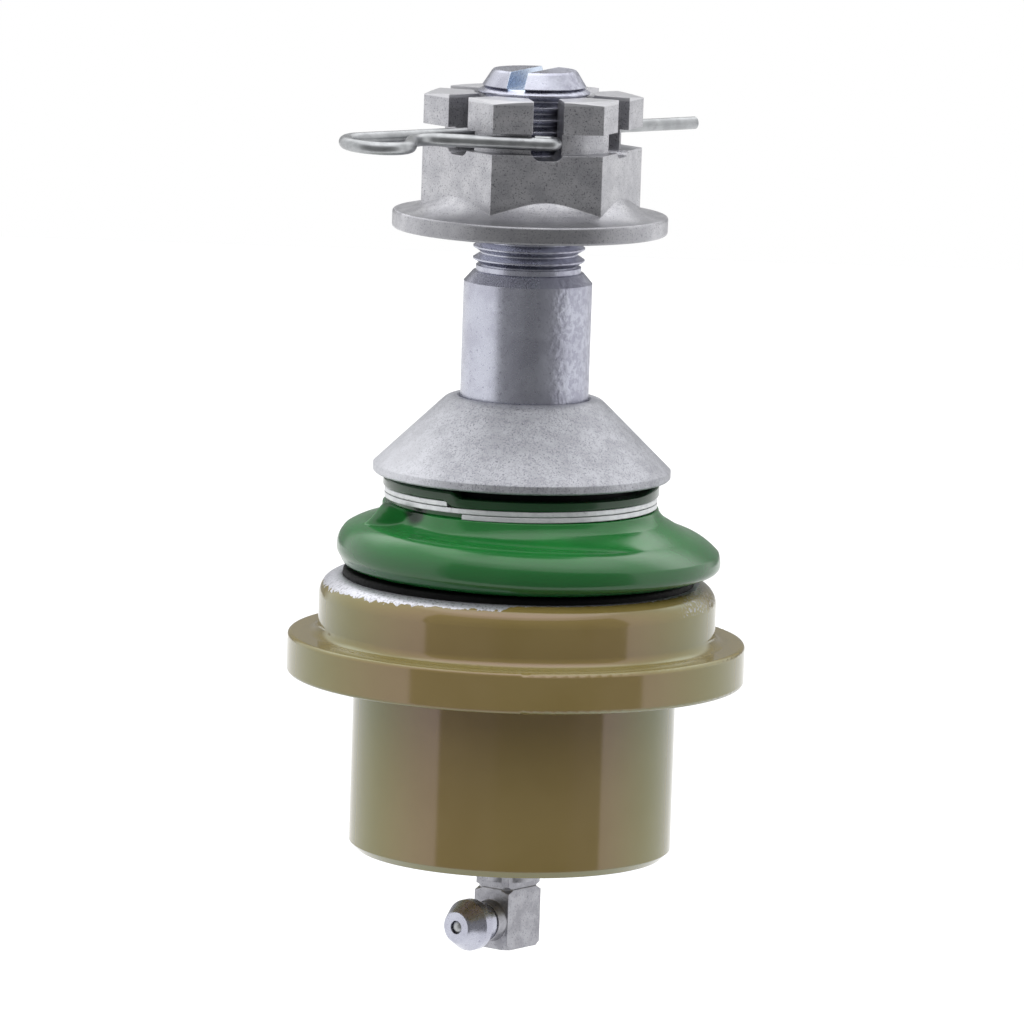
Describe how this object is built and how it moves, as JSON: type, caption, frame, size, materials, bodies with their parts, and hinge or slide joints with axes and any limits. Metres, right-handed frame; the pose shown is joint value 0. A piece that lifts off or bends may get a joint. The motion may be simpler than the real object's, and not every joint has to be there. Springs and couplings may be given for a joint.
{
  "type": "suspension ball joint",
  "caption": "Press-in suspension ball joint with a flanged housing, sealed boot, swinging stud, taper collar, castle nut with a hairpin clip, and an angled grease fitting under its floor.",
  "frame": {"origin": "on the housing's axis at the flange's underside, the face that seats on the control arm", "axes": "+Z along the housing's axis from the barrel to the stud's tip, -Y towards the viewer of the picture, +X to that viewer's right"},
  "size_m": [0.0576, 0.0576, 0.1112],
  "materials": {
    "olive_paint": "gloss",
    "black_oxide_steel": "satin",
    "zinc_plate": "satin",
    "zinc_flake": "mottled",
    "cast_zinc": "as cast",
    "spring_wire": "bright",
    "green_boot": "gloss",
    "bearing_polymer": "matte",
    "plain_steel": "satin"
  },
  "bodies": {
    "housing": {"housing": "olive_paint", "closing_ring": "black_oxide_steel", "upper_bearing": "bearing_polymer", "pressure_plate": "plain_steel", "disc_springs": "plain_steel", "boot_foot_ring": "plain_steel", "grease_elbow": "zinc_flake", "grease_nipple": "zinc_plate", "check_spring": "spring_wire", "spring_seat": "plain_steel"},
    "bearing_cup": {"lower_bearing": "bearing_polymer", "boot": "green_boot"},
    "boot_top": {"boot_clamp_ring": "spring_wire"},
    "stud": {"ball_stud": "zinc_plate", "taper_collar": "cast_zinc", "castle_nut": "zinc_flake", "hairpin_clip": "spring_wire"},
    "check_ball": {"check_ball": "spring_wire"}
  },
  "joints": [
    {"name": "swing_direction", "type": "hinge", "parent": "housing", "child": "bearing_cup", "pos_m": [0, 0, -0.003], "axis": [0, 0, 1], "continuous": true},
    {"name": "stud_swing", "type": "hinge", "parent": "bearing_cup", "child": "boot_top", "pos_m": [0, 0, -0.003], "axis": [1, 0, 0], "range_deg": [-18, 18], "deforming": ["boot"]},
    {"name": "stud_spin", "type": "hinge", "parent": "boot_top", "child": "stud", "pos_m": [0, 0, -0.003], "axis": [0, 0, 1], "continuous": true},
    {"name": "check_ball_slide", "type": "slide", "parent": "housing", "child": "check_ball", "axis": [0.6157, 0.788, 0], "range_m": [0, 0.0008], "stiffness_N_per_m": 100, "springref_m": -0.002, "deforming": ["check_spring"]}
  ]
}
